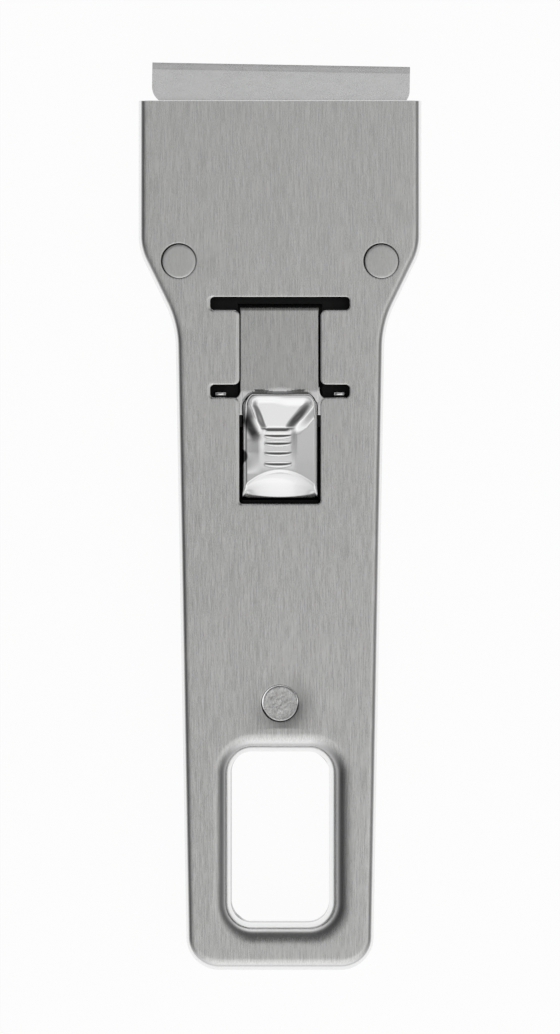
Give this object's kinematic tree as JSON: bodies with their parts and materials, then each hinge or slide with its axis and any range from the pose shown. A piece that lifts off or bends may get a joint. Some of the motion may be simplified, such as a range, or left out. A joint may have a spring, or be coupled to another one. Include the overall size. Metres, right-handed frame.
{
  "type": "ceramic hob scraper",
  "caption": "Flat all-steel scraper for ceramic hobs: a blade slides out of its wide end and is moved and locked by a sprung thumb catch; the narrow end has a hanging hole.",
  "frame": {"origin": "middle of the flat back, halfway between the tail and the mouth, on the face that it lies on", "axes": "+X across the scraper to its right side seen from the front, +Y along it towards the blade, +Z out of the front face"},
  "size_m": [0.044, 0.1409, 0.0105],
  "materials": {
    "front_shell": "brushed lengthwise, rolled edges polished",
    "rear_shell": "brushed lengthwise",
    "head_rivets": "ground flush with the sheet",
    "tail_rivet": "peened",
    "tail_spacer": "turned",
    "slide_plate": "rolled sheet",
    "blade": "fine satin with a ground edge",
    "thumb_catch": "brushed tongue, polished button",
    "lock_spring": "bright spring steel"
  },
  "bodies": {
    "housing": {"front_shell": "front_shell", "rear_shell": "rear_shell", "head_rivet_left": "head_rivets", "head_rivet_right": "head_rivets", "tail_rivet": "tail_rivet", "tail_spacer": "tail_spacer"},
    "slide": {"slide_plate": "slide_plate", "blade": "blade"},
    "catch": {"thumb_catch": "thumb_catch", "lock_spring": "lock_spring"}
  },
  "joints": [
    {"name": "blade_slide", "type": "slide", "parent": "housing", "child": "slide", "axis": [0, 1, 0], "range_m": [0, 0.0136], "deforming": ["lock_spring"]},
    {"name": "catch_press", "type": "hinge", "parent": "slide", "child": "catch", "pos_m": [0, 0.0005, 0.0044], "axis": [-1, 0, 0], "range_deg": [0, 3.5], "stiffness_Nm_per_rad": 2, "springref_deg": -1.15}
  ]
}
